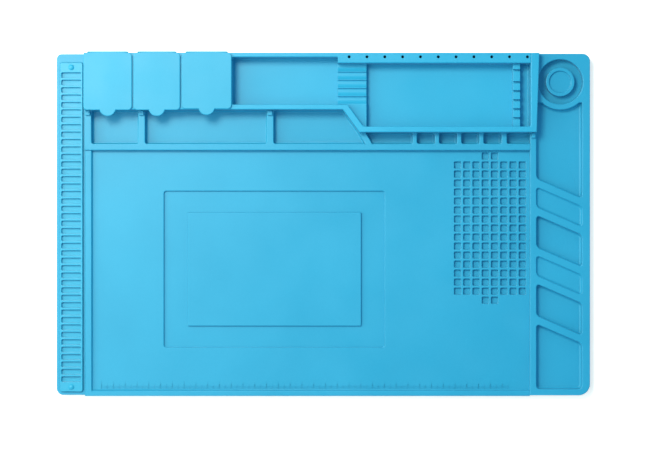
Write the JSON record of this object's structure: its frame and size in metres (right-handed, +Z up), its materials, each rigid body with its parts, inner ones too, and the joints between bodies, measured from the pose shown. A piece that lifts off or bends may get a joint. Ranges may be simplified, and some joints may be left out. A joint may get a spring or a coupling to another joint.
{
  "type": "silicone soldering mat with organiser",
  "caption": "Flat silicone work mat for soldering and repair, with a strip for driver bits, screw sockets, parts bins and a lift-out tray with hinged lids.",
  "frame": {"origin": "middle of the underside, on the bench", "axes": "+X to the right along the long side, +Y to the rear where the raised tray is, +Z up"},
  "size_m": [0.452, 0.291, 0.0205],
  "materials": {
    "mat_silicone": "matt moulded silicone, sky blue",
    "strip_silicone": "matt moulded silicone, sky blue",
    "tray_silicone": "matt moulded silicone, sky blue",
    "lid_silicone": "matt moulded silicone, sky blue"
  },
  "bodies": {
    "mat": {"base_sheet": "mat_silicone", "strip_bed": "mat_silicone", "work_mat": "mat_silicone", "front_bins": "mat_silicone", "parts_trough": "mat_silicone", "well_post": "mat_silicone", "work_pad": "mat_silicone", "bit_strip": "strip_silicone", "strip_studs": "strip_silicone"},
    "tray": {"upper_tray": "tray_silicone", "bit_rack": "tray_silicone", "left_tool_rest": "tray_silicone", "right_tool_rest": "tray_silicone", "lid_hinge_1": "lid_silicone", "lid_hinge_2": "lid_silicone", "lid_hinge_3": "lid_silicone"},
    "lid_left": {"lid_1": "lid_silicone"},
    "lid_middle": {"lid_2": "lid_silicone"},
    "lid_right": {"lid_3": "lid_silicone"}
  },
  "joints": [
    {"name": "tray_lift", "type": "slide", "parent": "mat", "child": "tray", "axis": [0, 0, 1], "range_m": [0, 0.03]},
    {"name": "lid_1_hinge", "type": "hinge", "parent": "tray", "child": "lid_left", "pos_m": [-0.181, 0.1455, 0.0185], "axis": [-1, 0, 0], "range_deg": [0, 175], "deforming": ["lid_hinge_1"]},
    {"name": "lid_2_hinge", "type": "hinge", "parent": "tray", "child": "lid_middle", "pos_m": [-0.13965, 0.1455, 0.0185], "axis": [-1, 0, 0], "range_deg": [0, 175], "deforming": ["lid_hinge_2"]},
    {"name": "lid_3_hinge", "type": "hinge", "parent": "tray", "child": "lid_right", "pos_m": [-0.0978, 0.1455, 0.0185], "axis": [-1, 0, 0], "range_deg": [0, 175], "deforming": ["lid_hinge_3"]}
  ]
}
